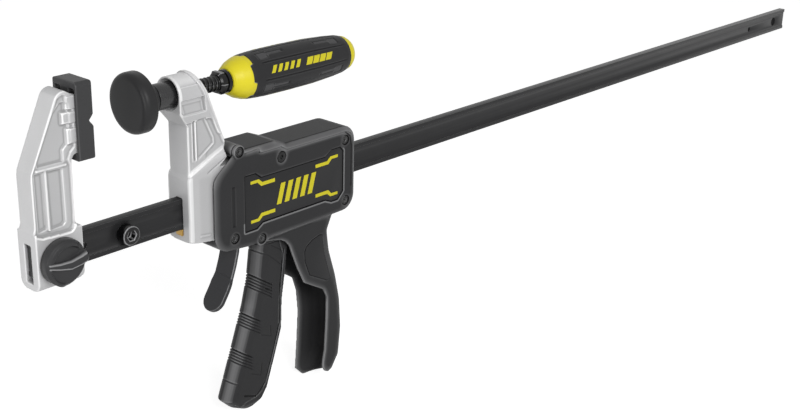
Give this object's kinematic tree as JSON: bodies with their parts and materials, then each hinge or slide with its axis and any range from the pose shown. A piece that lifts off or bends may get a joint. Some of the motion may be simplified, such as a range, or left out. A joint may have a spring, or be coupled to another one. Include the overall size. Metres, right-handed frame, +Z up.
{
  "type": "quick release bar clamp",
  "caption": "One-handed bar clamp with a trigger drive, a quick release lever and a screw spindle for the final load.",
  "frame": {"origin": "centre of the fixed pad's clamping face, on the screw spindle's axis", "axes": "+X along the bar from the fixed jaw towards its far end, +Z up from the bar to the screw, -Y towards the side with the cover screws and the knob"},
  "size_m": [0.9127, 0.0372, 0.261],
  "materials": {
    "bar_black": "satin black coating on rolled steel",
    "black_steel": "black oxide steel, satin",
    "cast_silver": "light silver, satin, fine cast grain",
    "pad_rubber": "dark grey rubber, matte",
    "black_plastic": "black moulded plastic, fine grain",
    "steel": "plain steel",
    "brass": "plain brass",
    "housing_plastic": "charcoal moulded plastic, fine grain",
    "soft_grip": "black soft moulded rubber, matte",
    "yellow_plastic": "yellow moulded plastic, satin"
  },
  "bodies": {
    "bar": {"bar": "bar_black", "stop_screw": "black_steel", "stop_nut": "bar_black", "fixed_jaw": "cast_silver", "fixed_pad": "pad_rubber"},
    "lock": {"lock_knob": "black_plastic", "lock_pin": "steel", "lock_clip": "steel"},
    "carriage": {"moving_jaw": "cast_silver", "bar_shoe": "brass", "jaw_bolts": "steel", "spindle_nut": "brass", "housing_body": "housing_plastic", "side_cover": "housing_plastic", "near_badge": "black_plastic", "near_strokes": "yellow_plastic", "far_badge": "black_plastic", "far_strokes": "yellow_plastic", "cover_screws": "black_steel", "near_inlay": "soft_grip", "far_inlay": "soft_grip", "rear_bush": "black_plastic", "trigger_pin": "steel", "drive_spring": "steel", "spring_seat": "steel", "release_pin": "steel", "brake_spring": "steel"},
    "trigger": {"trigger_core": "housing_plastic", "trigger_grip": "soft_grip", "trigger_roller": "steel"},
    "drive": {"drive_plate_front": "steel", "drive_plate_rear": "steel"},
    "brake": {"release_lever": "black_steel", "lever_coat": "soft_grip"},
    "sleeve": {"spindle_sleeve": "black_steel", "thrust_ball": "steel"},
    "spindle": {"spindle": "black_steel", "hex_collar": "black_steel", "handle_core": "yellow_plastic", "handle_grip": "soft_grip", "handle_cap": "yellow_plastic"},
    "ring": {"swivel_ring": "steel"},
    "pad": {"pad_core": "black_plastic", "pad_cover": "pad_rubber"}
  },
  "joints": [
    {"name": "lock_turn", "type": "hinge", "parent": "bar", "child": "lock", "pos_m": [-0.0267, 0, -0.0775], "axis": [0, 1, 0], "range_deg": [0, 90]},
    {"name": "carriage_slide", "type": "slide", "parent": "bar", "child": "carriage", "axis": [1, 0, 0], "range_m": [-0.0225, 0.585]},
    {"name": "trigger_pull", "type": "hinge", "parent": "carriage", "child": "trigger", "pos_m": [0.1402, 0, -0.0542], "axis": [0, -1, 0], "range_deg": [0, 20], "stiffness_Nm_per_rad": 0.3, "springref_deg": -11.46},
    {"name": "drive_slide", "type": "slide", "parent": "carriage", "child": "drive", "axis": [1, 0, 0], "range_m": [0, 0.0131], "deforming": ["drive_spring"]},
    {"name": "release_pull", "type": "hinge", "parent": "carriage", "child": "brake", "pos_m": [0.1075, 0, -0.0595], "axis": [0, -1, 0], "range_deg": [0, 8], "stiffness_Nm_per_rad": 0.1, "springref_deg": -17.19, "deforming": ["brake_spring"]},
    {"name": "spindle_feed", "type": "slide", "parent": "carriage", "child": "sleeve", "axis": [1, 0, 0], "range_m": [-0.00451, 0.00601]},
    {"name": "spindle_turn", "type": "hinge", "parent": "sleeve", "child": "spindle", "pos_m": [0.0582, 0, 0], "axis": [1, 0, 0], "range_deg": [-540, 720]},
    {"name": "ring_tilt", "type": "hinge", "parent": "sleeve", "child": "ring", "pos_m": [0.041, 0, 0], "axis": [0, 0, 1], "range_deg": [-4, 4]},
    {"name": "pad_tilt", "type": "hinge", "parent": "ring", "child": "pad", "pos_m": [0.041, 0, 0], "axis": [0, 1, 0], "range_deg": [-4, 4]}
  ],
  "couplings": [
    {"joint": "drive_slide", "follows": "trigger_pull", "m_per_rad": 0.0373},
    {"joint": "spindle_feed", "follows": "spindle_turn", "m_per_rad": 0.00047746}
  ]
}
